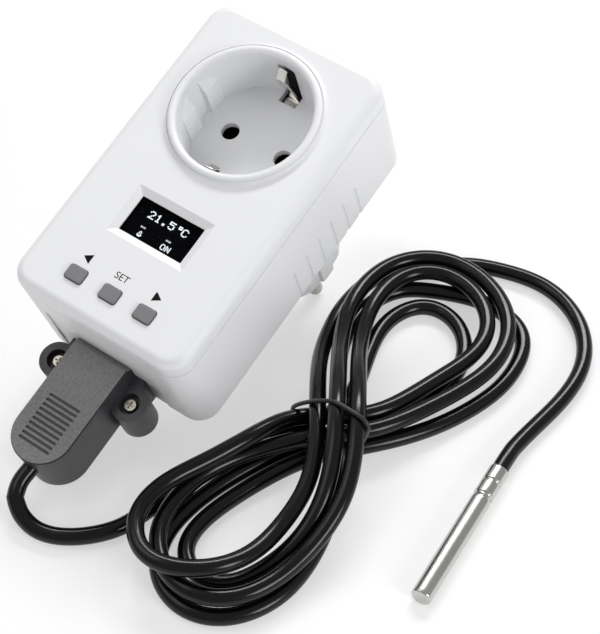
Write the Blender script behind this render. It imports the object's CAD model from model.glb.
"""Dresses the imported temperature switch: finishes, display, marks, cable, probe and studio."""
import logging
import math
from dataclasses import dataclass, field
from enum import Enum
from typing import Optional, Sequence, Union

import bmesh
import bpy
import numpy as np
from mathutils import Matrix, Vector


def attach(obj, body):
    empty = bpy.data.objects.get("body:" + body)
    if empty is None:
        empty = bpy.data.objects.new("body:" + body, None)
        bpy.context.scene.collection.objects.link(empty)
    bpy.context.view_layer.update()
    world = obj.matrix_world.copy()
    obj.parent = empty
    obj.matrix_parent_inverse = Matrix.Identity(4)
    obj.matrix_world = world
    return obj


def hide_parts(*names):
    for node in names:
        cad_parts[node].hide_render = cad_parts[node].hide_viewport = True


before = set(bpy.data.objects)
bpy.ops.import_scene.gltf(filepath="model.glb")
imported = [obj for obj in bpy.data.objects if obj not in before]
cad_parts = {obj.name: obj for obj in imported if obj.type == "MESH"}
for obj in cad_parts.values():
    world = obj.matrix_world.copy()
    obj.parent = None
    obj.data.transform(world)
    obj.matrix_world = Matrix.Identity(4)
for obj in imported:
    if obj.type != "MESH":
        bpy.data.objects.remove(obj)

LOG = logging.getLogger("temperature_switch")
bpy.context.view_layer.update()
MM = 0.001
ROOT = "switch"
UP = Vector((0, 0, 1))
WHITE = (1.0, 1.0, 1.0, 1.0)

Number = Union[int, float]
Pair = tuple[float, float]
Triple = tuple[float, float, float]
Colour = Triple
Settings = dict[str, object]
Inputs = dict[Union[int, str], object]


# --------------------------------------------------------------------------------------
# Shader expressions and materials
# --------------------------------------------------------------------------------------


class Expr:
    """A shader value that Python's own operators work on."""

    def __init__(self, tree: "NodeTree", socket: bpy.types.NodeSocket) -> None:
        """Wraps an output socket of a tree.

        Args:
            tree: The tree that the socket belongs to.
            socket: The output socket that carries the value.
        """
        self.tree = tree
        self.socket = socket

    def _math(self, operation: str, first: "Term", second: "Term") -> "Expr":
        """Adds one Math node.

        Args:
            operation: The Math node's operation.
            first: Its first value.
            second: Its second value.

        Returns:
            The node's result.
        """
        node = self.tree.node("ShaderNodeMath", {"operation": operation}, {0: first, 1: second})
        return Expr(self.tree, node.outputs[0])

    def __add__(self, other: "Term") -> "Expr":
        """Sum of both."""
        return self._math("ADD", self, other)

    __radd__ = __add__

    def __sub__(self, other: "Term") -> "Expr":
        """Difference of both."""
        return self._math("SUBTRACT", self, other)

    def __rsub__(self, other: "Term") -> "Expr":
        """Difference of both, turned round."""
        return self._math("SUBTRACT", other, self)

    def __mul__(self, other: "Term") -> "Expr":
        """Product of both."""
        return self._math("MULTIPLY", self, other)

    __rmul__ = __mul__

    def larger(self, other: "Term") -> "Expr":
        """The larger of both."""
        return self._math("MAXIMUM", self, other)

    def clamped(self) -> "Expr":
        """The value, kept between zero and one."""
        return self._math("MINIMUM", self.larger(0.0), 1.0)


Term = Union[Expr, Number]


class NodeTree:
    """A node tree that is filled through one method for every kind of node."""

    def __init__(self, tree: bpy.types.NodeTree) -> None:
        """Wraps a tree of Blender and empties it.

        Args:
            tree: The tree that gets the nodes.
        """
        self.tree = tree
        tree.nodes.clear()

    def node(self, kind: str, settings: Optional[Settings] = None,
             inputs: Optional[Inputs] = None) -> bpy.types.Node:
        """Adds a node, with its settings first and its sockets after them.

        Args:
            kind: The node's type.
            settings: Values of the node's own properties.
            inputs: Values or links of its input sockets, by name or place.

        Returns:
            The new node.
        """
        made = self.tree.nodes.new(kind)
        for key, value in (settings or {}).items():
            setattr(made, key, value)
        for key, value in (inputs or {}).items():
            source = value.socket if isinstance(value, Expr) else value
            if isinstance(source, bpy.types.NodeSocket):
                self.tree.links.new(source, made.inputs[key])
            else:
                made.inputs[key].default_value = source
        return made


class ShaderTree(NodeTree):
    """The node tree of one material."""

    def __init__(self, name: str) -> None:
        """Starts a material with an empty tree.

        Args:
            name: The material's name.
        """
        self.material = bpy.data.materials.new(name)
        self.material.use_nodes = True
        super().__init__(self.material.node_tree)

    def place(self, stretch: Triple = (1, 1, 1), turn: Triple = (0, 0, 0)) -> bpy.types.NodeSocket:
        """Object coordinates, turned and stretched for a pattern.

        Args:
            stretch: Scale of the pattern along each axis.
            turn: Rotation of the pattern about each axis, in radians.

        Returns:
            The vector output.
        """
        at = self.node("ShaderNodeTexCoord")
        mapped = self.node("ShaderNodeMapping", {}, {
            "Vector": at.outputs["Object"], "Scale": stretch, "Rotation": turn,
        })
        return mapped.outputs["Vector"]

    def noise(self, scale: float, detail: float = 2.0, rough: float = 0.5,
              stretch: Triple = (1, 1, 1), turn: Triple = (0, 0, 0)) -> Expr:
        """Noise on object coordinates.

        Args:
            scale: Features per metre.
            detail: Number of finer layers.
            rough: Weight of the finer layers.
            stretch: Scale of the pattern along each axis.
            turn: Rotation of the pattern about each axis, in radians.

        Returns:
            The noise value, from zero to one.
        """
        made = self.node("ShaderNodeTexNoise", {}, {
            "Vector": self.place(stretch, turn),
            "Scale": scale, "Detail": detail, "Roughness": rough,
        })
        return Expr(self, made.outputs["Fac"])

    def cells(self, scale: float) -> Expr:
        """Distance to the nearest of many scattered points, for a moulded grain."""
        made = self.node("ShaderNodeTexVoronoi", {}, {"Vector": self.place(), "Scale": scale})
        return Expr(self, made.outputs["Distance"])

    def blend(self, factor: Term, low: Colour, high: Colour) -> bpy.types.NodeSocket:
        """A colour between two.

        Args:
            factor: Zero for the low colour and one for the high one.
            low: First colour.
            high: Second colour.

        Returns:
            The colour output.
        """
        mix = self.node("ShaderNodeMix", {"data_type": "RGBA"}, {
            0: factor, 6: (*low, 1.0), 7: (*high, 1.0),
        })
        return mix.outputs[2]

    def bump(self, height: Expr, depth: float) -> bpy.types.NodeSocket:
        """A normal from a height.

        Args:
            height: Height of the surface, from zero to one.
            depth: Distance that a height of one stands for, in metres.

        Returns:
            The normal output.
        """
        made = self.node("ShaderNodeBump", {}, {
            "Height": height, "Distance": depth, "Strength": 1.0,
        })
        return made.outputs["Normal"]

    def surface(self, inputs: Inputs) -> bpy.types.Material:
        """Ends the tree in one shader.

        Args:
            inputs: Values or links of the shader's sockets.

        Returns:
            The finished material.
        """
        shader = self.node("ShaderNodeBsdfPrincipled", {}, inputs)
        self.node("ShaderNodeOutputMaterial", {}, {"Surface": shader.outputs["BSDF"]})
        return self.material


def toned(colour: Colour, share: float) -> Colour:
    """The colour made darker or lighter, up to white."""
    return tuple(min(1.0, part * share) for part in colour)


@dataclass(frozen=True)
class Plastic:
    """Moulded plastic with a grain, and a slight drift of tone and gloss. Scales per metre."""

    name: str
    colour: Colour
    roughness: float = 0.4
    grain: float = 2500.0
    depth: float = 1e-5
    drift: float = 0.02
    coat: float = 0.0
    specular: float = 0.5
    cloud: float = 60.0
    layers: float = 3.0
    layer_weight: float = 0.6
    pores: float = 0.5
    pore_scale: float = 0.8
    gloss_scale: float = 900.0
    gloss_drift: float = 0.08
    coat_roughness: float = 0.12

    def material(self) -> bpy.types.Material:
        """Builds the material.

        Returns:
            The moulded plastic.
        """
        tree = ShaderTree(self.name)
        tone = tree.noise(self.cloud, self.layers)
        fine = tree.noise(self.grain, self.layers, self.layer_weight)
        pores = tree.cells(self.grain * self.pore_scale)
        gloss = tree.noise(self.gloss_scale) - 0.5
        low, high = toned(self.colour, 1 - self.drift), toned(self.colour, 1 + self.drift)
        return tree.surface({
            "Base Color": tree.blend(tone, low, high),
            "Roughness": self.roughness + self.gloss_drift * gloss,
            "Normal": tree.bump(fine + self.pores * pores, self.depth),
            "Coat Weight": self.coat,
            "Coat Roughness": self.coat_roughness,
            "Specular IOR Level": self.specular,
        })


@dataclass(frozen=True)
class Metal:
    """Bare or plated metal with fine marks along one direction. Scales per metre."""

    name: str
    colour: Colour
    roughness: float = 0.2
    marks: Triple = (1.0, 1.0, 1.0)
    turn: Triple = (0.0, 0.0, 0.0)
    scale: float = 1500.0
    depth: float = 4e-6
    tarnish: float = 0.06
    layers: float = 3.0
    layer_weight: float = 0.6
    cloud: float = 160.0
    mark_gloss: float = 0.1
    cloud_gloss: float = 0.05

    def material(self) -> bpy.types.Material:
        """Builds the material.

        Returns:
            The metal.
        """
        tree = ShaderTree(self.name)
        lines = tree.noise(self.scale, self.layers, self.layer_weight, self.marks, self.turn)
        cloud = tree.noise(self.cloud, self.layers)
        gloss = self.mark_gloss * (lines - 0.5) + self.cloud_gloss * (cloud - 0.5)
        return tree.surface({
            "Base Color": tree.blend(cloud, toned(self.colour, 1 - self.tarnish), self.colour),
            "Metallic": 1.0,
            "Roughness": self.roughness + gloss,
            "Normal": tree.bump(lines, self.depth),
        })


@dataclass(frozen=True)
class Sheath:
    """Smooth glossy cable sheath with slight handling marks and dust. Scales per metre."""

    name: str
    colour: Colour
    roughness: float = 0.24
    specular: float = 0.3
    wave: float = 110.0
    wave_gloss: float = 0.05
    depth: float = 2e-5
    dust: float = 1400.0
    dust_layers: float = 4.0
    dust_weight: float = 0.7
    dust_level: float = 0.45
    dust_tone: float = 1.5
    dust_lift: float = 0.003
    dust_gloss: float = 0.02
    dust_height: float = 0.004

    def material(self) -> bpy.types.Material:
        """Builds the material.

        Returns:
            The sheath's material.
        """
        tree = ShaderTree(self.name)
        wave = tree.noise(self.wave)
        dust = tree.noise(self.dust, self.dust_layers, self.dust_weight)
        pale = tuple(part * self.dust_tone + self.dust_lift for part in self.colour)
        gloss = self.wave_gloss * (wave - 0.5) + self.dust_gloss * (dust - 0.5)
        return tree.surface({
            "Base Color": tree.blend((dust - self.dust_level).clamped(), self.colour, pale),
            "Roughness": self.roughness + gloss,
            "Normal": tree.bump(wave + self.dust_height * dust, self.depth),
            "Specular IOR Level": self.specular,
        })


@dataclass(frozen=True)
class Glass:
    """Smooth pane or lens, partly see-through, with a faint smear."""

    name: str
    colour: Colour
    alpha: float = 1.0
    roughness: float = 0.05
    specular: float = 0.01
    smear: float = 140.0
    smear_layers: float = 4.0
    smear_weight: float = 0.6
    smear_tone: float = 1.2
    smear_gloss: float = 0.04

    def material(self) -> bpy.types.Material:
        """Builds the material.

        Returns:
            The glass.
        """
        tree = ShaderTree(self.name)
        smear = tree.noise(self.smear, self.smear_layers, self.smear_weight)
        return tree.surface({
            "Base Color": tree.blend(smear, self.colour, toned(self.colour, self.smear_tone)),
            "Roughness": self.roughness + self.smear_gloss * smear,
            "Alpha": self.alpha,
            "Specular IOR Level": self.specular,
        })


@dataclass(frozen=True)
class Glow:
    """Lit cells of a display, slightly uneven."""

    name: str
    colour: Colour
    strength: float = 1.0
    unlit: Colour = (0.02, 0.02, 0.02)
    roughness: float = 0.3
    uneven: float = 2500.0
    dim: float = 0.86

    def material(self) -> bpy.types.Material:
        """Builds the material.

        Returns:
            The cells' material.
        """
        tree = ShaderTree(self.name)
        flicker = tree.noise(self.uneven, 1.0)
        return tree.surface({
            "Base Color": (*self.unlit, 1.0),
            "Roughness": self.roughness,
            "Emission Color": tree.blend(flicker, toned(self.colour, self.dim), self.colour),
            "Emission Strength": self.strength,
        })


@dataclass(frozen=True)
class Board:
    """Circuit board with tracks under its solder mask. Scales per metre."""

    name: str
    colour: Colour
    track: Colour
    roughness: float = 0.35
    gloss_scale: float = 700.0
    gloss_drift: float = 0.1
    grid: float = 260.0
    line: float = 0.06
    depth: float = 3e-5

    def material(self) -> bpy.types.Material:
        """Builds the material.

        Returns:
            The board's material.
        """
        tree = ShaderTree(self.name)
        black = (0.0, 0.0, 0.0, 1.0)
        grid = tree.node("ShaderNodeTexBrick", {}, {
            "Vector": tree.place(), "Scale": self.grid, "Mortar Size": self.line,
            "Color1": black, "Color2": black, "Mortar": WHITE,
        })
        tracks = Expr(tree, grid.outputs["Fac"])
        return tree.surface({
            "Base Color": tree.blend(tracks, self.colour, self.track),
            "Roughness": self.roughness + self.gloss_drift * tree.noise(self.gloss_scale),
            "Normal": tree.bump(tracks, self.depth),
        })


# Turns of the metals' marks, in radians: with the leaning housing, and along the probe.
LEANING = (0.35, 0.0, 0.0)
ALONG_PROBE = (0.0, 0.0, 1.47)


class Finish(Enum):
    """Every finish of the switch, by the part of it that wears the finish."""

    HOUSING = Plastic(
        "housing_white", (0.84, 0.845, 0.86), 0.42, grain=1800.0, depth=4e-6, drift=0.008)
    HOOD = Plastic(
        "hood_side", (0.035, 0.034, 0.039), 0.42, grain=1500.0, depth=6e-6, drift=0.05)
    HOOD_TOP = Plastic(
        "hood_grain", (0.2, 0.2, 0.201), 0.7, grain=1500.0, depth=2e-4, drift=0.4, cloud=1300.0)
    KEY = Plastic("key_grey", (0.185, 0.187, 0.193), 0.45, grain=3000.0, depth=1.2e-5, drift=0.03)
    INK = Plastic(
        "printed_black", (0.006, 0.006, 0.007), 0.55, grain=4000.0, depth=3e-6, drift=0.1,
        specular=0.08)
    SCREW = Metal("screw_nickel", (0.5, 0.46, 0.4), 0.34, scale=2600.0, depth=1e-5, tarnish=0.25)
    PIN = Metal(
        "pin_nickel", (0.4, 0.39, 0.37), 0.26, marks=(1.0, 1.0, 0.08), turn=LEANING,
        scale=2400.0, depth=6e-6, tarnish=0.12)
    CLIP = Metal(
        "clip_steel", (0.72, 0.7, 0.66), 0.16, marks=(1.0, 1.0, 0.1), turn=LEANING,
        scale=2200.0, depth=6e-6, tarnish=0.15)
    BRASS = Metal("contact_brass", (0.55, 0.42, 0.2), 0.35)
    AGED = Metal("contact_aged", (0.05, 0.046, 0.04), 0.5)
    PROBE = Metal(
        "probe_steel", (0.58, 0.575, 0.55), 0.24, marks=(0.06, 1.0, 1.0), turn=ALONG_PROBE,
        scale=2600.0, depth=5e-6, tarnish=0.05)
    CABLE = Sheath("cable_black", (0.003, 0.003, 0.0034), 0.2)
    TIE = Plastic("tie_black", (0.016, 0.016, 0.018), 0.38, grain=2600.0, drift=0.1)
    DISPLAY = Glass("display_black", (0.002, 0.002, 0.003))
    PANE = Glass("pane_smoked", (0.002, 0.002, 0.003), alpha=0.1, roughness=0.03)
    PIXELS = Glow("display_pixels", (0.85, 0.93, 1.0), strength=1.2)
    BLACK = Plastic(
        "moulded_black", (0.02, 0.02, 0.021), 0.5, grain=2200.0, depth=1.5e-5, drift=0.08)
    CARRIER = Plastic(
        "carrier_beige", (0.62, 0.56, 0.44), 0.55, grain=2000.0, depth=2e-5, drift=0.05)
    IVORY = Plastic("plunger_ivory", (0.6, 0.58, 0.5), 0.45, grain=2200.0, drift=0.03)
    RELAY = Plastic("relay_blue", (0.02, 0.09, 0.36), 0.3, grain=1500.0, depth=8e-6, drift=0.05)
    TERMINAL = Plastic("terminal_green", (0.03, 0.3, 0.11), 0.42, grain=1800.0, drift=0.05)
    CERAMIC = Plastic("fuse_ceramic", (0.72, 0.7, 0.64), 0.3, grain=900.0, drift=0.04)
    RESIN = Plastic(
        "filling_resin", (0.03, 0.028, 0.026), 0.25, grain=500.0, depth=3e-5, drift=0.15)
    BEAD = Plastic("element_bead", (0.4, 0.14, 0.05), 0.2, grain=1400.0, drift=0.1, coat=0.6)
    BOARD = Board("board_green", (0.01, 0.1, 0.035), (0.03, 0.2, 0.07))

    def material(self) -> bpy.types.Material:
        """The finish's material, built on its first use."""
        return bpy.data.materials.get(self.value.name) or self.value.material()


# --------------------------------------------------------------------------------------
# Meshes and Geometry Nodes
# --------------------------------------------------------------------------------------


@dataclass(frozen=True)
class LyingPose:
    """How the switch lies: on its two plug pins and on the toe of its hood. Sizes in mm."""

    far_y: float = 29.5
    body_l: float = 104.4
    base_r: float = 1.6
    pad_d: float = 0.5
    hood_l: float = 38.0
    hood_h: float = 18.3
    hood_edge: float = 0.5
    pin_r: float = 2.4
    pin_y: float = -11.0
    pin_low: float = 34.1

    @property
    def hood_end(self) -> float:
        """Place of the hood's end along the housing."""
        return self.far_y - self.body_l + self.pad_d - self.hood_l

    @property
    def tilt(self) -> float:
        """Lean of the housing.

        Returns:
            The angle, in radians.
        """
        span = self.pin_y - self.hood_end - self.hood_edge
        rest = math.asin(self.pin_r / math.hypot(span, self.pin_low))
        return rest + math.atan2(self.pin_low, span)

    @property
    def front(self) -> Vector:
        """The way that the front face looks."""
        return Vector((0, -math.sin(self.tilt), math.cos(self.tilt)))

    def matrix(self) -> Matrix:
        """Turns millimetres along the housing into metres in the row frame.

        Returns:
            The transform.
        """
        sine, cosine = math.sin(self.tilt), math.cos(self.tilt)
        lift = -(self.hood_end + self.hood_edge) * sine
        front = self.hood_end * cosine - (self.hood_h - self.hood_edge) * sine
        back = (self.far_y - self.base_r) * cosine - self.base_r * sine + self.base_r
        shift = Matrix.Translation(Vector((0, -(front + back) / 2, lift)) * MM)
        return shift @ Matrix.Rotation(self.tilt, 4, "X") @ Matrix.Diagonal((MM, MM, MM, 1))


POSE = LyingPose()


def new_object(name: str, mesh: bpy.types.Mesh,
               finish: Optional[Finish] = None) -> bpy.types.Object:
    """Links a mesh into the scene as a piece.

    Args:
        name: The piece's name.
        mesh: Its mesh, already in place.
        finish: The finish that it wears, if the mesh has none yet.

    Returns:
        The new object.
    """
    made = bpy.data.objects.new(name, mesh)
    mesh.name = name
    bpy.context.scene.collection.objects.link(made)
    if finish is not None:
        mesh.materials.clear()
        mesh.materials.append(finish.material())
    return made


def mesh_of(name: str, shape: bmesh.types.BMesh, place: Optional[Matrix] = None,
            smooth: bool = True) -> bpy.types.Mesh:
    """Turns a bmesh into a mesh in its place.

    Args:
        name: The mesh's name.
        shape: The bmesh, which is freed.
        place: Transform into the row frame.
        smooth: Whether its faces are shaded smooth.

    Returns:
        The mesh.
    """
    if place is not None:
        shape.transform(place)
    for face in shape.faces:
        face.smooth = smooth
    mesh = bpy.data.meshes.new(name)
    shape.to_mesh(mesh)
    shape.free()
    return mesh


def final_mesh(source: bpy.types.Object) -> bpy.types.Mesh:
    """Takes the plain mesh that an object's modifiers or its text make.

    Args:
        source: The object, which is removed.

    Returns:
        The mesh.
    """
    bpy.context.view_layer.update()
    graph = bpy.context.evaluated_depsgraph_get()
    mesh = bpy.data.meshes.new_from_object(source.evaluated_get(graph))
    source.modifiers.clear()
    bpy.data.objects.remove(source)
    return mesh


class GeometryTree(NodeTree):
    """A Geometry Nodes tree with named inputs that ends in plain geometry and its material."""

    KINDS = {float: "NodeSocketFloat", int: "NodeSocketInt"}

    def __init__(self, name: str, inputs: dict[str, Number]) -> None:
        """Starts a tree.

        Args:
            name: The tree's name.
            inputs: Its named inputs, each with its value.
        """
        super().__init__(bpy.data.node_groups.new(name, "GeometryNodeTree"))
        self.values = inputs
        face = self.tree.interface
        face.new_socket("Geometry", in_out="INPUT", socket_type="NodeSocketGeometry")
        for label, value in inputs.items():
            kind = self.KINDS[type(value)]
            face.new_socket(label, in_out="INPUT", socket_type=kind).default_value = value
        face.new_socket("Material", in_out="INPUT", socket_type="NodeSocketMaterial")
        face.new_socket("Geometry", in_out="OUTPUT", socket_type="NodeSocketGeometry")
        self.given = self.node("NodeGroupInput").outputs

    def end(self, geometry: bpy.types.NodeSocket) -> None:
        """Ends the tree: realizes the instances and sets the material.

        Args:
            geometry: The finished geometry.
        """
        real = self.node("GeometryNodeRealizeInstances", {}, {"Geometry": geometry})
        dressed = self.node("GeometryNodeSetMaterial", {}, {
            "Geometry": real.outputs[0], "Material": self.given["Material"],
        })
        self.node("NodeGroupOutput", {}, {"Geometry": dressed.outputs[0]})

    def run(self, source: bpy.types.Object, name: str, finish: Finish) -> bpy.types.Object:
        """Runs the tree on an object.

        Args:
            source: The object that feeds the tree, which is removed.
            name: Name of the piece that comes out.
            finish: Its finish.

        Returns:
            The plain piece.
        """
        modifier = source.modifiers.new(self.tree.name, "NODES")
        modifier.node_group = self.tree
        given = {**self.values, "Material": finish.material()}
        for item in self.tree.interface.items_tree:
            if item.in_out == "INPUT" and item.name in given:
                modifier[item.identifier] = given[item.name]
        return new_object(name, final_mesh(source))


def line_object(name: str, points: Sequence[Vector], closed: bool = False) -> bpy.types.Object:
    """A mesh of edges along points.

    Args:
        name: The object's name.
        points: Its points, in metres.
        closed: Whether the last point joins the first.

    Returns:
        The object.
    """
    last = len(points) - 1
    edges = [(i, i + 1) for i in range(last)] + ([(last, 0)] if closed else [])
    mesh = bpy.data.meshes.new(name)
    mesh.from_pydata([tuple(p) for p in points], edges, [])
    return new_object(name, mesh)


def tube_piece(name: str, points: Sequence[Vector], radius: float, sides: int, finish: Finish,
               closed: bool = False) -> bpy.types.Object:
    """A round tube along points.

    Args:
        name: The piece's name.
        points: Middle of the tube, in metres.
        radius: Its radius, in metres.
        sides: Number of its sides.
        finish: Its finish.
        closed: Whether it is a ring.

    Returns:
        The piece.
    """
    tree = GeometryTree(name + "_tube", {"Radius": radius, "Sides": sides})
    curve = tree.node("GeometryNodeMeshToCurve", {}, {"Mesh": tree.given["Geometry"]})
    ring = tree.node("GeometryNodeCurvePrimitiveCircle", {}, {
        "Resolution": tree.given["Sides"], "Radius": tree.given["Radius"],
    })
    tube = tree.node("GeometryNodeCurveToMesh", {}, {
        "Curve": curve.outputs[0], "Profile Curve": ring.outputs[0], "Fill Caps": True,
    })
    smooth = tree.node("GeometryNodeSetShadeSmooth", {}, {
        "Geometry": tube.outputs[0], "Shade Smooth": True,
    })
    tree.end(smooth.outputs[0])
    return tree.run(line_object(name + "_line", points, closed), name, finish)


def smooth_line(points: Sequence[Vector], step: float, closed: bool = False) -> list[Vector]:
    """A smooth line through points, in about even steps.

    The root of each leg's length weighs its ends, so that close points make no loop or kink.

    Args:
        points: Points that the line goes through.
        step: Length of a step.
        closed: Whether the line is a ring.

    Returns:
        The points of the smooth line.
    """
    n, least = len(points), 1e-9
    fine: list[Vector] = []
    for i in range(n if closed else n - 1):
        if closed:
            a, b, c, d = (points[(i + k) % n] for k in (-1, 0, 1, 2))
        else:
            b, c = points[i], points[i + 1]
            a = points[i - 1] if i else b * 2 - c
            d = points[i + 2] if i + 2 < n else c * 2 - b
        ta, tb, tc = (max(leg.length, least) ** 0.5 for leg in (b - a, c - b, d - c))
        m1 = (c - b) + tb * ((b - a) / ta - (c - a) / (ta + tb))
        m2 = (c - b) + tb * ((d - c) / tc - (d - b) / (tb + tc))
        count = max(2, math.ceil((c - b).length / step))
        for k in range(count):
            t = k / count
            h = (2 * t**3 - 3 * t**2 + 1, t**3 - 2 * t**2 + t, -2 * t**3 + 3 * t**2, t**3 - t**2)
            fine.append(b * h[0] + m1 * h[1] + c * h[2] + m2 * h[3])
    if not closed:
        fine.append(points[-1].copy())
    return fine


def ring_round(points: Sequence[Pair]) -> list[Pair]:
    """The convex ring round flat points.

    Args:
        points: The points.

    Returns:
        The corners of the ring, in order.
    """
    ring: list[Pair] = []
    for ordered in (sorted(points), sorted(points, reverse=True)):
        chain: list[Pair] = []
        for p in ordered:
            while len(chain) > 1:
                (ax, ay), (bx, by) = chain[-2:]
                if (bx - ax) * (p[1] - ay) > (by - ay) * (p[0] - ax):
                    break
                chain.pop()
            chain.append(p)
        ring += chain[:-1]
    return ring


@dataclass
class RoundedCopy:
    """A copy of a CAD node with slightly round edges, which stands for the node.

    Heights are in mm over the housing's rear face, other lengths in metres, angles in degrees.
    """

    node: str
    name: str
    finish: Finish
    width: float
    above: float
    segments: int = 2
    top: Optional[Finish] = None
    waist: float = 1.0
    weld: float = 2e-6
    flat: float = 0.6
    sharp: float = 32.0
    crown_depth: float = 0.1
    crown_facing: float = 0.4

    def merged(self) -> bmesh.types.BMesh:
        """The node's mesh, without doubles and without edges inside its flat faces.

        Returns:
            The bmesh.
        """
        shape = bmesh.new()
        shape.from_mesh(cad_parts[self.node].data)
        bmesh.ops.remove_doubles(shape, verts=shape.verts, dist=self.weld)
        bmesh.ops.dissolve_limit(
            shape, angle_limit=math.radians(self.flat), verts=shape.verts, edges=shape.edges,
            delimit={"NORMAL"},
        )
        return shape

    def narrowed(self, shape: bmesh.types.BMesh) -> dict[bmesh.types.BMVert, float]:
        """Pulls what lies above the height towards the middle of the housing.

        Args:
            shape: The bmesh.

        Returns:
            The height of each of its vertices.
        """
        out, back = POSE.matrix(), POSE.matrix().inverted()
        heights = {}
        for v in shape.verts:
            at = back @ v.co
            heights[v] = at.z
            if at.z > self.above:
                v.co = out @ Vector((at.x * self.waist, at.y, at.z))
        return heights

    def mark_edges(self, shape: bmesh.types.BMesh,
                   heights: dict[bmesh.types.BMVert, float]) -> None:
        """Marks the edges that get round and the ones that stay sharp.

        Args:
            shape: The bmesh.
            heights: The height of each of its vertices.
        """
        weight = shape.edges.layers.float.new("bevel_weight_edge")
        for edge in shape.edges:
            sharp = edge.is_manifold and edge.calc_face_angle(0) > math.radians(self.sharp)
            edge[weight] = float(sharp and min(heights[v] for v in edge.verts) > self.above)
            edge.smooth = not sharp or edge[weight] > 0

    def crown(self, shape: bmesh.types.BMesh,
              heights: dict[bmesh.types.BMVert, float]) -> list[int]:
        """Finds the topmost faces.

        Args:
            shape: The bmesh.
            heights: The height of each of its vertices.

        Returns:
            One for each face of the top, and zero for the others.
        """
        level = max(heights.values()) - self.crown_depth
        return [
            int(max(heights[v] for v in face.verts) > level
                and face.normal.dot(POSE.front) > self.crown_facing)
            for face in shape.faces
        ]

    def build(self) -> bpy.types.Object:
        """Builds the copy.

        Returns:
            The piece.
        """
        shape = self.merged()
        heights = self.narrowed(shape)
        self.mark_edges(shape, heights)
        crown = self.crown(shape, heights)
        made = new_object(self.name + "_raw", mesh_of(self.name, shape), self.finish)
        if self.top is not None:
            made.data.materials.append(self.top.material())
            made.data.polygons.foreach_set("material_index", crown)
        bevel = made.modifiers.new("edges", "BEVEL")
        bevel.width = self.width
        bevel.segments = self.segments
        bevel.limit_method = "WEIGHT"
        bevel.use_clamp_overlap = True
        bevel.miter_outer = "MITER_ARC"
        flat = made.modifiers.new("flat", "WEIGHTED_NORMAL")
        flat.keep_sharp = True
        flat.weight = 100
        piece = new_object(self.name, final_mesh(made))
        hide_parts(self.node)
        return piece


def ride(piece: bpy.types.Object, body: str = ROOT) -> bpy.types.Object:
    """Puts a finished piece on a body.

    Args:
        piece: The piece.
        body: The body that it moves with.

    Returns:
        The same piece.
    """
    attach(piece, body)
    LOG.info("%s: %d faces, on %s", piece.name, len(piece.data.polygons), body)
    return piece


# --------------------------------------------------------------------------------------
# The object's own parts
# --------------------------------------------------------------------------------------


@dataclass
class CarriedNodes:
    """CAD nodes whose shape is right, each with its finish."""

    finishes: dict[Finish, tuple[str, ...]] = field(default_factory=lambda: {
        Finish.HOUSING: ("front_cover", "rear_shell"),
        Finish.SCREW: ("housing_screws", "carrier_screws", "board_screws", "hood_screws"),
        Finish.PIN: ("plug_pins", "plug_earth_strips"),
        Finish.AGED: ("socket_contacts",),
        Finish.BRASS: ("jack_pins",),
        Finish.CARRIER: ("contact_carrier",),
        Finish.PANE: ("display_pane",),
        Finish.DISPLAY: ("display_glass",),
        Finish.BLACK: ("display_frame", "switch_bodies", "power_module", "capacitor",
                       "sensor_jack", "sensor_connector", "cable_clamp"),
        Finish.BOARD: ("control_board", "power_board"),
        Finish.IVORY: ("plunger_left", "plunger_set", "plunger_right"),
        Finish.HOOD: ("hood_lower",),
        Finish.RELAY: ("relay",),
        Finish.CERAMIC: ("fuse",),
        Finish.TERMINAL: ("terminal_block",),
        Finish.CABLE: ("cable_root", "cable_end"),
        Finish.RESIN: ("probe_filling",),
        Finish.BEAD: ("probe_element",),
    })

    def dress(self) -> None:
        """Gives every node its finish."""
        for finish, names in self.finishes.items():
            for name in names:
                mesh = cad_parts[name].data
                mesh.materials.clear()
                mesh.materials.append(finish.material())
                LOG.info("%s: %s", name, finish.value.name)


@dataclass
class CableHood:
    """The upper shell of the cable hood, with a grained top. Edge in metres, heights in mm."""

    edge: float = 0.0002
    split: float = 6.0
    clear: float = 0.1

    def build(self) -> None:
        """Builds the shell, whose edge at the joint between both shells stays sharp."""
        shell = RoundedCopy("hood_upper", "hood_top_shell", Finish.HOOD, self.edge,
                            self.split + self.clear, top=Finish.HOOD_TOP)
        ride(shell.build())


@dataclass
class EarthClip:
    """The sprung earth clip, whose arms are narrower than its foot and bent in a round fold."""

    fold: float = 0.00035
    floor: float = 23.5
    waist: float = 0.66
    segments: int = 3

    def build(self) -> None:
        """Builds the clip."""
        clip = RoundedCopy("earth_bracket", "earth_clip", Finish.CLIP, self.fold, self.floor,
                           self.segments, waist=self.waist)
        ride(clip.build())


@dataclass
class KeyCaps:
    """The three key caps, with slightly round edges."""

    edge: float = 0.00022
    flange: float = 39.0
    segments: int = 3
    names: tuple[str, ...] = ("left", "set", "right")

    def build(self) -> None:
        """Builds the caps, each on its own body."""
        for name in self.names:
            cap = RoundedCopy("button_" + name, "key_cap_" + name, Finish.KEY, self.edge,
                              self.flange, self.segments)
            ride(cap.build(), "key_" + name)


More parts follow.
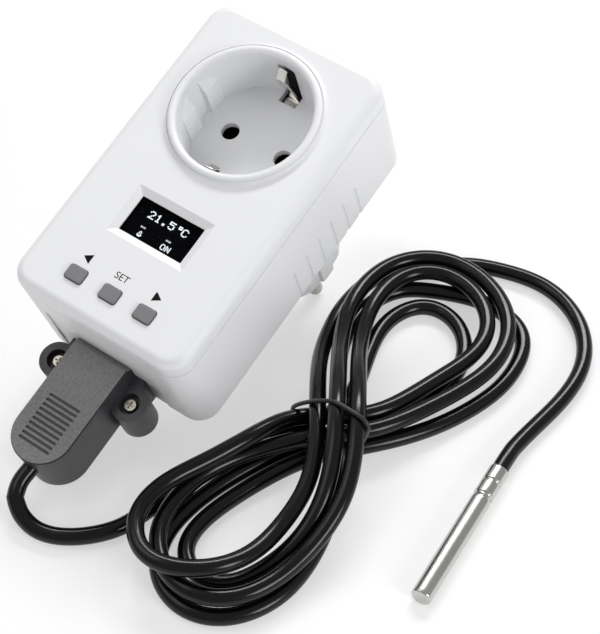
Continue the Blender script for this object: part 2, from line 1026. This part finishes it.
@dataclass
class DisplayPixels:
    """The lit cells of the display, with generic digits and signs. Sizes in mm.

    Each word has its glyphs, its left and top edge, and the size of its cells as a share of
    the pitch.
    """

    middle_y: float = -41.0
    glass_z: float = 38.2
    pitch_x: float = 0.385
    pitch_y: float = 0.345
    fill: float = 1.06
    height: float = 0.05
    advance: int = 6
    words: tuple[tuple[str, float, float, float], ...] = (
        ("21.5oC", -6.5, 3.75, 1.0), ("ON", 2.3, -3.1, 0.74), ("--", 2.6, -1.35, 0.38),
        ("|", -5.9, -3.0, 0.74), ("--", -6.3, -1.35, 0.38),
    )
    glyphs: dict[str, tuple[str, ...]] = field(default_factory=lambda: {
        "2": (".###.", "#...#", "....#", "...#.", "..#..", ".#...", "#####"),
        "1": ("..#..", ".##..", "..#..", "..#..", "..#..", "..#..", ".###."),
        ".": (".....", ".....", ".....", ".....", ".....", ".##..", ".##.."),
        "5": ("#####", "#....", "####.", "....#", "....#", "#...#", ".###."),
        "o": ("..###", "..#.#", "..###", ".....", ".....", ".....", "....."),
        "C": (".###.", "#...#", "#....", "#....", "#....", "#...#", ".###."),
        "O": (".###.", "#...#", "#...#", "#...#", "#...#", "#...#", ".###."),
        "N": ("#...#", "##..#", "#.#.#", "#.#.#", "#.#.#", "#..##", "#...#"),
        "|": ("..#..", ".#.#.", ".#.#.", ".#.#.", "#...#", "#####", ".###."),
        "-": (".....", ".....", "#####", ".....", "#####", ".....", "....."),
    })

    def cells(self, text: str, left: float, top: float, share: float) -> list[Triple]:
        """Cells of a word.

        Args:
            text: The glyphs of the word.
            left: Its left edge.
            top: Its top edge.
            share: Size of its cells, as a share of the pitch.

        Returns:
            The middle of each cell, with the word's share.
        """
        cells = []
        for at, sign in enumerate(text):
            for row, line in enumerate(self.glyphs[sign]):
                for column, mark in enumerate(line):
                    if mark == "#":
                        x = left + (at * self.advance + column + 0.5) * self.pitch_x * share
                        cells.append((x, top - (row + 0.5) * self.pitch_y * share, share))
        return cells

    def lit(self, cells: Sequence[Triple], share: float) -> bpy.types.Object:
        """Lays one small box on each cell with Geometry Nodes.

        Args:
            cells: The middle of each cell.
            share: Size of the cells, as a share of the pitch.

        Returns:
            The boxes as one object.
        """
        place, level = POSE.matrix(), self.glass_z + self.height / 2
        points = [place @ Vector((x, self.middle_y + y, level)) for x, y, _ in cells]
        tree = GeometryTree("lit_cells", {
            "Cell width": self.pitch_x * share * self.fill * MM,
            "Cell length": self.pitch_y * share * self.fill * MM,
            "Cell height": self.height * MM,
            "Lean": POSE.tilt,
        })
        given = tree.given
        size = tree.node("ShaderNodeCombineXYZ", {}, {
            "X": given["Cell width"], "Y": given["Cell length"], "Z": given["Cell height"],
        })
        box = tree.node("GeometryNodeMeshCube", {}, {"Size": size.outputs[0]})
        lean = tree.node("ShaderNodeCombineXYZ", {}, {"X": given["Lean"]})
        laid = tree.node("GeometryNodeInstanceOnPoints", {}, {
            "Points": given["Geometry"], "Instance": box.outputs["Mesh"],
            "Rotation": lean.outputs[0],
        })
        tree.end(laid.outputs[0])
        return tree.run(line_object("cells", points), "cells", Finish.PIXELS)

    def build(self) -> bpy.types.Object:
        """Builds the lit cells of all words as one piece.

        Returns:
            The piece.
        """
        cells = [cell for word in self.words for cell in self.cells(*word)]
        shape = bmesh.new()
        for share in sorted({cell[2] for cell in cells}):
            part = self.lit([cell for cell in cells if cell[2] == share], share)
            shape.from_mesh(part.data)
            bpy.data.objects.remove(part)
        for face in shape.faces:
            face.material_index = 0
        mesh = mesh_of("display_pixels", shape, smooth=False)
        return new_object("display_pixels", mesh, Finish.PIXELS)


@dataclass
class KeyMarks:
    """Printed arrows and word above the three keys. Sizes in mm."""

    face_z: float = 40.6
    row_y: float = -58.85
    pitch: float = 12.0
    arrow_l: float = 2.6
    arrow_w: float = 3.1
    tip_share: float = 0.62
    print_h: float = 0.02
    word_text: str = "SET"
    word_l: float = 4.5

    def slab(self, corners: Sequence[Pair]) -> bmesh.types.BMesh:
        """A thin flat plate on the front face.

        Args:
            corners: Its outline, counter-clockwise.

        Returns:
            The plate.
        """
        shape = bmesh.new()
        low = [shape.verts.new((x, y, self.face_z - self.print_h)) for x, y in corners]
        high = [shape.verts.new((x, y, self.face_z + self.print_h)) for x, y in corners]
        shape.faces.new(high)
        shape.faces.new(low[::-1])
        n = len(corners)
        for i in range(n):
            shape.faces.new((low[i], low[(i + 1) % n], high[(i + 1) % n], high[i]))
        return shape

    def arrow(self, side: int) -> bpy.types.Object:
        """One arrow that points away from the middle key.

        Args:
            side: -1 for the left key and 1 for the right one.

        Returns:
            The arrow.
        """
        x = side * self.pitch
        tip = (x + side * self.arrow_l * self.tip_share, self.row_y)
        root = x - side * self.arrow_l * (1 - self.tip_share)
        pair = [(root, self.row_y + self.arrow_w / 2), (root, self.row_y - self.arrow_w / 2)]
        corners = [tip, *(pair if side > 0 else pair[::-1])]
        mesh = mesh_of("arrow", self.slab(corners), POSE.matrix(), smooth=False)
        return new_object("arrow_" + ("left" if side < 0 else "right"), mesh, Finish.INK)

    def word(self) -> bpy.types.Object:
        """The word above the middle key.

        Returns:
            The word as a thin mesh.
        """
        curve = bpy.data.curves.new("word", "FONT")
        curve.body = self.word_text
        curve.align_x = "CENTER"
        curve.align_y = "CENTER"
        curve.extrude = self.print_h
        source = bpy.data.objects.new("word", curve)
        bpy.context.scene.collection.objects.link(source)
        mesh = final_mesh(source)
        xs = [v.co.x for v in mesh.vertices]
        ys = [v.co.y for v in mesh.vertices]
        grow = self.word_l / (max(xs) - min(xs))
        middle = Vector(((max(xs) + min(xs)) / 2, (max(ys) + min(ys)) / 2, 0))
        flat = Matrix.Diagonal((grow, grow, 1, 1)) @ Matrix.Translation(-middle)
        mesh.transform(POSE.matrix() @ Matrix.Translation((0, self.row_y, self.face_z)) @ flat)
        return new_object("word_set", mesh, Finish.INK)

    def build(self) -> None:
        """Builds and places all three marks."""
        for mark in (self.arrow(-1), self.arrow(1), self.word()):
            ride(mark)


@dataclass
class SensorCable:
    """The probe cable: its free ends, its hank of four loops, and the tie round it.

    Sizes in mm. The lead, the entry and the tail are points of the cable's middle. The loop has
    the stations that every turn of the hank passes, each with its place, its lift and the
    spacing of the strands there. The lanes give, turn by turn, how many spacings a strand lies
    aside of a station, and the layers how many strands it lies on.
    """

    diameter: float = 5.0
    outlet_x: float = -2.4
    outlet_z: float = 11.0
    sides: int = 24
    step: float = 1.6
    layer_step: float = 5.5
    first: int = 4
    turns: int = 4
    past: int = 6
    join_at: Triple = (28, -58.4, 2.5)
    join_way: Triple = (0.184, 0.983, 0)
    lead: tuple[Triple, ...] = (
        (-0.5, -76, 6.2), (4.5, -78.4, 3.6), (11, -77.8, 2.5), (17.5, -74.2, 2.5),
        (22.5, -69, 2.5),
    )
    entry: tuple[Triple, ...] = (
        (31.2, -46.5, 2.5), (33.8, -36, 2.5), (38.6, -22.5, 2.9), (42.4, -14.4, 3.8),
        (46.6, -6.9, 4.5), (50.6, 2, 4.5), (52, 11, 3.6), (50, 20, 2.6), (46.6, 31, 2.5),
    )
    tail: tuple[Triple, ...] = (
        (58.4, 84.6, 2.5), (67.5, 87.6, 2.5), (75.6, 88.4, 2.5), (83.9, 86.1, 2.5),
        (91.8, 81.4, 2.5), (98.6, 73, 2.5), (101.9, 63.1, 2.5), (102.7, 50.1, 2.5),
        (101.3, 36.5, 2.5), (100.6, 28, 2.8), (100.9, 22.4, 3), (101.4, 17.4, 3),
    )
    loop: tuple[tuple[float, float, float, float], ...] = (
        (67, -8, 13, 5.5), (59.5, 4, 13, 5.5), (52, 16, 8.4, 5.5), (45.3, 28, 2.6, 5.8),
        (39.8, 45, 0, 6), (41, 60, 0, 6), (48.4, 67.8, 0, 6), (60.3, 68.4, 0, 6), (71, 61, 0, 6),
        (74.1, 47.4, 0, 6), (69.6, 33, 0, 6), (65.4, 20.6, 1, 5.8), (59.5, 7, 2, 5.6),
        (48.6, -7.5, 2, 5.6), (40.2, -22, 0.4, 5.8), (36, -37, 0, 6), (35.6, -50.5, 0, 6),
        (38.6, -60.6, 0, 6), (45.6, -67.2, 0, 6), (56, -69, 0, 6), (65, -64.4, 0, 6),
        (71.5, -54, 0, 6), (75, -41, 1.5, 6), (75, -25, 7.5, 5.7),
    )
    lanes: tuple[tuple[Pair, ...], ...] = (
        ((0, 0), (3, 0), (4, -0.7), (5, -1.35), (6, -1.65), (7, -1.7), (8, -1.45), (9, -0.6),
         (10, 0.4), (11, 0.8), (12, 0.65), (13, 0.62), (14, 0.72), (15, 0.6), (16, 0.4),
         (17, 0.15), (18, -0.3), (19, -0.7), (20.5, -0.8), (21.5, -0.4), (22.5, 0.25), (24, 1)),
        ((0, 1), (3, 1), (4, 0.75), (5, 0.05), (6, -0.55), (7, 0.3), (8, 1.75), (9, 1.9),
         (10, 2.1), (11, 2.05), (12, 1.7), (13, 1.6), (14, 1.7), (15, 1.6), (16, 1.4), (17, 1.2),
         (18, 1.15), (19, 1.1), (20, 0.9), (21, 1), (22, 0.82), (23, 0.95), (24, 1)),
        ((0, 1.05), (3, 1.05), (4, 1.22), (5, 1.18), (6, 1.08), (7, 0.9), (8, 0.9), (9, 1.15),
         (10, 1.4), (11, 1.45), (12, 1.47), (13, 1.05), (14, 0.6), (15, 0.1), (18, -0.1),
         (19, -0.3), (20, -0.35), (21, -0.22), (22, -0.03), (24, -0.02)),
        ((0, -0.02), (3, 0), (4, 0.18), (5, 0.17), (6, 0.07), (7, -0.1), (8, -0.15), (9, 0),
         (10, 0.2), (11, 0.4), (12, 0.48), (13, -0.35), (14, 0.4), (15, 0.18), (16, -0.56),
         (17, -1.03), (18, -0.84), (19, 0.38), (20, 0.89), (21, 1.26), (22, 1.72), (23, 1.94),
         (24, 2)),
        ((0, 2), (2, 2.1), (3, 1.95), (4, 1.75), (5, 1.5), (6, 1.5), (7, 1.9)),
    )
    layers: tuple[tuple[Pair, ...], ...] = (
        ((0, 0), (24, 0)),
        ((0, 0), (20, 0), (21, 0.15), (22, 0.5), (23, 0.9), (24, 1)),
        ((0, 1), (24, 1)),
        ((0, 1), (12, 1), (13, 1.08), (14, 2.15), (15, 2.05), (19, 2), (20, 1.9), (21, 1.6),
         (22, 1.25), (23, 0.6), (24, 0)),
        ((0, 0), (24, 0)),
    )
    rounds: int = 120
    smoothing: tuple[tuple[int, float], ...] = ((1, 0.5), (1, -0.52), (3, 0.4), (3, -0.41))
    hold: float = 0.02
    held: int = 6
    push: float = 0.25
    own_reach: float = 4.0
    tie_r: float = 0.65
    tie_y: float = -5.5
    tie_sides: int = 14
    tie_step: float = 0.8
    tie_turns: int = 24
    tie_gap: float = 1.2
    flattest: float = 0.3

    @staticmethod
    def share(table: Sequence[Pair], at: float) -> float:
        """Reads a value between the rows of a table.

        Args:
            table: Rows of place and value, in order.
            at: The place.

        Returns:
            The value there.
        """
        if at <= table[0][0]:
            return table[0][1]
        for (a, va), (b, vb) in zip(table, table[1:]):
            if at <= b:
                return va + (vb - va) * (at - a) / (b - a)
        return table[-1][1]

    def strand(self, n: int) -> Vector:
        """Middle of the strand at a station.

        Args:
            n: The station, counted through all the loops.

        Returns:
            The point, in mm.
        """
        count = len(self.loop)
        k, s = divmod(n, count)
        x, y, lift, spacing = self.loop[s]
        a, b = self.loop[s - 1], self.loop[(s + 1) % count]
        way = Vector((b[0] - a[0], b[1] - a[1])).normalized()
        aside = self.share(self.lanes[k], s) * spacing
        height = self.diameter / 2 + lift + self.share(self.layers[k], s) * self.layer_step
        return Vector((x - way.y * aside, y + way.x * aside, height))

    def route(self) -> list[Vector]:
        """Points of the whole cable from the hood to the probe.

        Returns:
            The points, in metres.
        """
        place = POSE.matrix()
        outlet = place @ Vector((self.outlet_x, POSE.hood_end, self.outlet_z)) / MM
        out_way = (place.to_3x3() @ Vector((0, -1, 0))).normalized()
        joint, way = Vector(self.join_at), Vector(self.join_way)
        points = [outlet, outlet + out_way * self.diameter, *map(Vector, self.lead)]
        points += [joint - way * self.diameter, joint, joint + way * self.diameter]
        points += map(Vector, self.entry)
        last = self.turns * len(self.loop) + self.past
        points += [self.strand(n) for n in range(self.first, last + 1)]
        tail = [Vector(p) for p in self.tail]
        points += [tail[0] - (tail[1] - tail[0]).normalized() * self.diameter, *tail]
        return [p * MM for p in points]

    def straightened(self, at: np.ndarray, free: np.ndarray) -> np.ndarray:
        """Evens the bends of the cable without shrinking its loops.

        Each pull towards the middle of a point's neighbours is followed by a slightly longer
        push back.

        Args:
            at: Points of the middle line, in mm.
            free: How freely each point may move, from zero to one.

        Returns:
            The moved points.
        """
        for reach, share in self.smoothing:
            bend = np.zeros_like(at)
            bend[reach:-reach] = (at[:-2 * reach] + at[2 * reach:]) / 2 - at[reach:-reach]
            at = at + share * bend * free
        return at

    def crowding(self, at: np.ndarray, far: np.ndarray) -> np.ndarray:
        """How far each point reaches into other strands.

        Args:
            at: Points of the middle line, in mm.
            far: Which pairs of points lie far apart along the cable.

        Returns:
            The sum of a point's overlaps, as a vector towards the other strands.
        """
        gap = at[None] - at[:, None]
        apart = np.linalg.norm(gap, axis=2)
        near = far & (apart < self.diameter)
        share = np.where(near, (self.diameter - apart) / np.maximum(apart, 1e-6), 0)
        return (share[:, :, None] * gap).sum(1)

    def settled(self, line: Sequence[Vector]) -> list[Vector]:
        """Lets the strands run smoothly and rest on each other and on the floor.

        Args:
            line: Middle line of the cable.

        Returns:
            The settled line, whose ends stay where they were.
        """
        start = np.array([tuple(p) for p in line]) / MM
        order = np.arange(len(start))
        between = np.abs(np.subtract.outer(order, order))
        far = between > self.own_reach * self.diameter / self.step
        free = np.clip(np.minimum(order, order[::-1]) / self.held - 1, 0, 1)[:, None]
        at = start.copy()
        for _ in range(self.rounds):
            at = self.straightened(at, free)
            at += self.hold * (start - at) * free
            at -= self.push * self.crowding(at, far) * free
            at[:, 2] = np.maximum(at[:, 2], self.diameter / 2)
        LOG.info("strands settled by %.2f mm at most", np.linalg.norm(at - start, axis=1).max())
        return [Vector(p) * MM for p in at.tolist()]

    def round_strands(self, line: Sequence[Vector]) -> list[Vector]:
        """The tie's way round all strands that cross its plane.

        Args:
            line: Middle line of the cable.

        Returns:
            The points of the ring, in metres.
        """
        reach = self.diameter / 2 + self.tie_r
        turns = [math.tau * k / self.tie_turns for k in range(self.tie_turns)]
        edge = []
        for a, b in zip(line, line[1:]):
            if (a.y / MM - self.tie_y) * (b.y / MM - self.tie_y) > 0:
                continue
            at, across = (a + b) / 2 / MM, max(abs((b - a).normalized().y), self.flattest)
            for turn in turns:
                x = at.x + reach * math.cos(turn) / across
                edge.append((x, max(at.z + reach * math.sin(turn), self.tie_r)))
        first, *others = ring_round(edge)
        spaced = [first]
        for p in others:
            if min(math.dist(p, spaced[-1]), math.dist(p, first)) > self.tie_gap:
                spaced.append(p)
        LOG.info("tie runs through %d points", len(spaced))
        return [Vector((x, self.tie_y, z)) * MM for x, z in spaced]

    def build(self) -> tuple[bpy.types.Object, bpy.types.Object, list[Vector]]:
        """Builds the cable and its tie.

        Returns:
            The cable, the tie and the cable's middle line.
        """
        line = self.settled(smooth_line(self.route(), self.step * MM))
        radius = self.diameter / 2 * MM
        cable = tube_piece("sensor_cable", line, radius, self.sides, Finish.CABLE)
        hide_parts("cable_lead", "cable_hank", "cable_tail")
        ring = smooth_line(self.round_strands(line), self.tie_step * MM, closed=True)
        tie = tube_piece(
            "wire_tie", ring, self.tie_r * MM, self.tie_sides, Finish.TIE, closed=True)
        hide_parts("cable_tie")
        return cable, tie, line

    def declare(self, line: Sequence[Vector]) -> None:
        """Args:
            line: Its middle line.
        """
        length = sum((b - a).length for a, b in zip(line, line[1:]))
        LOG.info("cable length %.3f m", length)


@dataclass
class SteelProbe:
    """The turned steel sheath of the probe, with its two crimps.

    Sizes in mm. The outside has the radius and the distance from the cable's end.
    """

    start: Triple = (101.4, 17.4, 3)
    way: Triple = (0.5, -5, 0)
    length: float = 50
    end_wall: float = 1
    bore: float = 2.5
    sides: int = 48
    sharp: float = 50
    outside: tuple[Pair, ...] = (
        (2.62, 0), (2.86, 0.12), (2.98, 0.35), (3, 0.6), (3, 0.9), (3, 4.8), (3, 5.1),
        (2.96, 5.25), (2.7, 5.4), (2.62, 5.6), (2.62, 5.8), (2.7, 6), (2.96, 6.15), (3, 6.3),
        (3, 6.6), (3, 10.2), (3, 10.5), (2.96, 10.65), (2.68, 10.8), (2.6, 11), (2.62, 11.3),
        (2.75, 11.7), (2.93, 12.2), (3, 12.9), (3, 13.4), (3, 48.8), (3, 49.3), (2.93, 49.62),
        (2.72, 49.88), (2.4, 50),
    )

    def ring(self, shape: bmesh.types.BMesh, radius: float,
             distance: float) -> list[bmesh.types.BMVert]:
        """One ring of vertices, which is a single one on the axis.

        Args:
            shape: The bmesh that gets them.
            radius: The ring's radius.
            distance: Its distance from the cable's end.

        Returns:
            The vertices.
        """
        axis = Vector(self.way).normalized()
        aside, middle = UP.cross(axis), Vector(self.start) + axis * distance
        turns = [math.tau * k / self.sides for k in range(self.sides if radius else 1)]
        return [
            shape.verts.new((middle + (aside * math.cos(t) + UP * math.sin(t)) * radius) * MM)
            for t in turns
        ]

    def build(self) -> bpy.types.Object:
        """Builds the sheath.

        Returns:
            The piece.
        """
        depth = self.length - self.end_wall
        inside = ((0, self.length), (0, depth), (self.bore, depth), (self.bore, 0))
        shape = bmesh.new()
        rings = [self.ring(shape, r, z) for r, z in (*self.outside, *inside)]
        for low, high in zip(rings, [*rings[1:], rings[0]]):
            for k in range(self.sides if len(low) + len(high) > 2 else 0):
                corners = (low[k % len(low)], low[(k + 1) % len(low)],
                           high[(k + 1) % len(high)], high[k % len(high)])
                shape.faces.new(list(dict.fromkeys(corners)))
        bmesh.ops.recalc_face_normals(shape, faces=shape.faces)
        for edge in shape.edges:
            edge.smooth = edge.calc_face_angle(0) < math.radians(self.sharp)
        piece = new_object("steel_sheath", mesh_of("steel_sheath", shape), Finish.PROBE)
        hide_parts("probe_sheath")
        return piece


# --------------------------------------------------------------------------------------
# Studio and camera
# --------------------------------------------------------------------------------------


@dataclass(frozen=True)
class Lamp:
    """One soft rectangular lamp. Sizes in metres, power in watts."""

    name: str
    way: Triple
    distance: float
    size: Pair
    power: float
    along: Triple = (1.0, 0.0, 0.0)

    def hang(self, target: Vector) -> None:
        """Adds the lamp, which looks at a point.

        Args:
            target: The point.
        """
        data = bpy.data.lights.new(self.name, "AREA")
        data.shape = "RECTANGLE"
        data.size, data.size_y = self.size
        data.energy = self.power
        made = bpy.data.objects.new(self.name, data)
        way = Vector(self.way).normalized()
        across = way.cross(Vector(self.along)).normalized()
        turn = Matrix((across.cross(way), across, way)).transposed()
        made.matrix_world = Matrix.Translation(target + way * self.distance) @ turn.to_4x4()
        bpy.context.scene.collection.objects.link(made)


@dataclass(frozen=True)
class Studio:
    """A pale floor, a plain room and soft lamps. Sizes in metres, colours linear."""

    floor_size: float = 6.0
    floor_tone: float = 0.98
    floor_drift: float = 0.004
    floor_cloud: float = 3.0
    floor_roughness: float = 0.9
    floor_specular: float = 0.1
    floor_lift: float = 0.5
    room_light: float = 0.4
    target: Triple = (0.03, 0.0, 0.02)
    lamps: tuple[Lamp, ...] = (
        Lamp("key", (-0.284, 0.604, 0.744), 1.2, (0.75, 0.2), 8.2, (0.81, 0.58, 0.0)),
        Lamp("top", (-0.5, -0.25, 0.83), 1.1, (0.7, 0.7), 2.2),
        Lamp("right", (0.88, -0.1, 0.43), 1.2, (0.4, 0.4), 5.0),
    )

    def floor(self) -> None:
        """Adds the floor, which camera, gloss and glass see lighter than it lights the object."""
        tree = ShaderTree("pale_floor")
        drift = self.floor_drift * (tree.noise(self.floor_cloud) - 0.5)
        tone = self.floor_tone * (1.0 + drift)
        colour = tree.node("ShaderNodeCombineColor", {}, {0: tone, 1: tone, 2: tone})
        plain = tree.node("ShaderNodeBsdfPrincipled", {}, {
            "Base Color": colour.outputs[0], "Roughness": self.floor_roughness,
            "Specular IOR Level": self.floor_specular,
        })
        white = tree.node("ShaderNodeEmission", {}, {"Color": WHITE, "Strength": 1.0})
        rays = tree.node("ShaderNodeLightPath").outputs
        seen, glossy, through = (
            Expr(tree, rays[f"Is {kind} Ray"]) for kind in ("Camera", "Glossy", "Transmission"))
        lift = self.floor_lift * seen.larger(glossy).larger(through)
        both = tree.node("ShaderNodeMixShader", {}, {
            0: lift, 1: plain.outputs[0], 2: white.outputs[0],
        })
        tree.node("ShaderNodeOutputMaterial", {}, {"Surface": both.outputs[0]})
        shape = bmesh.new()
        bmesh.ops.create_grid(shape, x_segments=2, y_segments=2, size=self.floor_size / 2)
        floor = new_object("floor", mesh_of("floor", shape, smooth=False))
        floor.data.materials.append(tree.material)

    def world(self) -> None:
        """Sets the even light of the room."""
        world = bpy.data.worlds.new("pale_room")
        bpy.context.scene.world = world
        world.use_nodes = True
        tree = NodeTree(world.node_tree)
        light = tree.node("ShaderNodeBackground", {}, {
            "Color": WHITE, "Strength": self.room_light,
        })
        tree.node("ShaderNodeOutputWorld", {}, {"Surface": light.outputs[0]})

    def build(self) -> None:
        """Builds floor, room and lamps."""
        self.floor()
        self.world()
        for lamp in self.lamps:
            lamp.hang(Vector(self.target))
        bpy.context.scene.view_settings.view_transform = "Standard"


@dataclass(frozen=True)
class PhotoCamera:
    """The photograph's camera, solved from the socket, the display and the outline.

    Place and sensor in mm, lengths of the picture in pixels.
    """

    place: Triple = (207.758, -256.436, 395.371)
    right: Triple = (0.81193287, 0.58241354, 0.03949022)
    down: Triple = (0.46093094, -0.59812456, -0.65558346)
    ahead: Triple = (-0.35820061, 0.55049202, -0.75408942)
    focal_px: float = 1674.75
    long_px: float = 634.0
    sensor: float = 36.0
    near: float = 10.0

    def build(self) -> None:
        """Adds the camera and makes it the scene's."""
        data = bpy.data.cameras.new("photo_camera")
        data.sensor_width = self.sensor
        data.lens = self.focal_px * self.sensor / self.long_px
        data.clip_start = self.near * MM
        camera = bpy.data.objects.new("photo_camera", data)
        turn = Matrix((self.right, [-c for c in self.down], [-c for c in self.ahead]))
        place = Matrix.Translation(Vector(self.place) * MM)
        camera.matrix_world = place @ turn.transposed().to_4x4()
        bpy.context.scene.collection.objects.link(camera)
        bpy.context.scene.camera = camera


def main() -> None:
    """Builds the camera, the switch with its cable and probe, and the studio, in order."""
    PhotoCamera().build()
    CarriedNodes().dress()
    CableHood().build()
    EarthClip().build()
    KeyCaps().build()
    cord = SensorCable()
    cable, tie, line = cord.build()
    ride(cable)
    ride(tie)
    probe = ride(SteelProbe().build())
    cord.declare(line)
    ride(DisplayPixels().build())
    KeyMarks().build()
    Studio().build()


if __name__ == "__main__":
    logging.basicConfig(level=logging.INFO, format="%(name)s %(message)s")
    main()
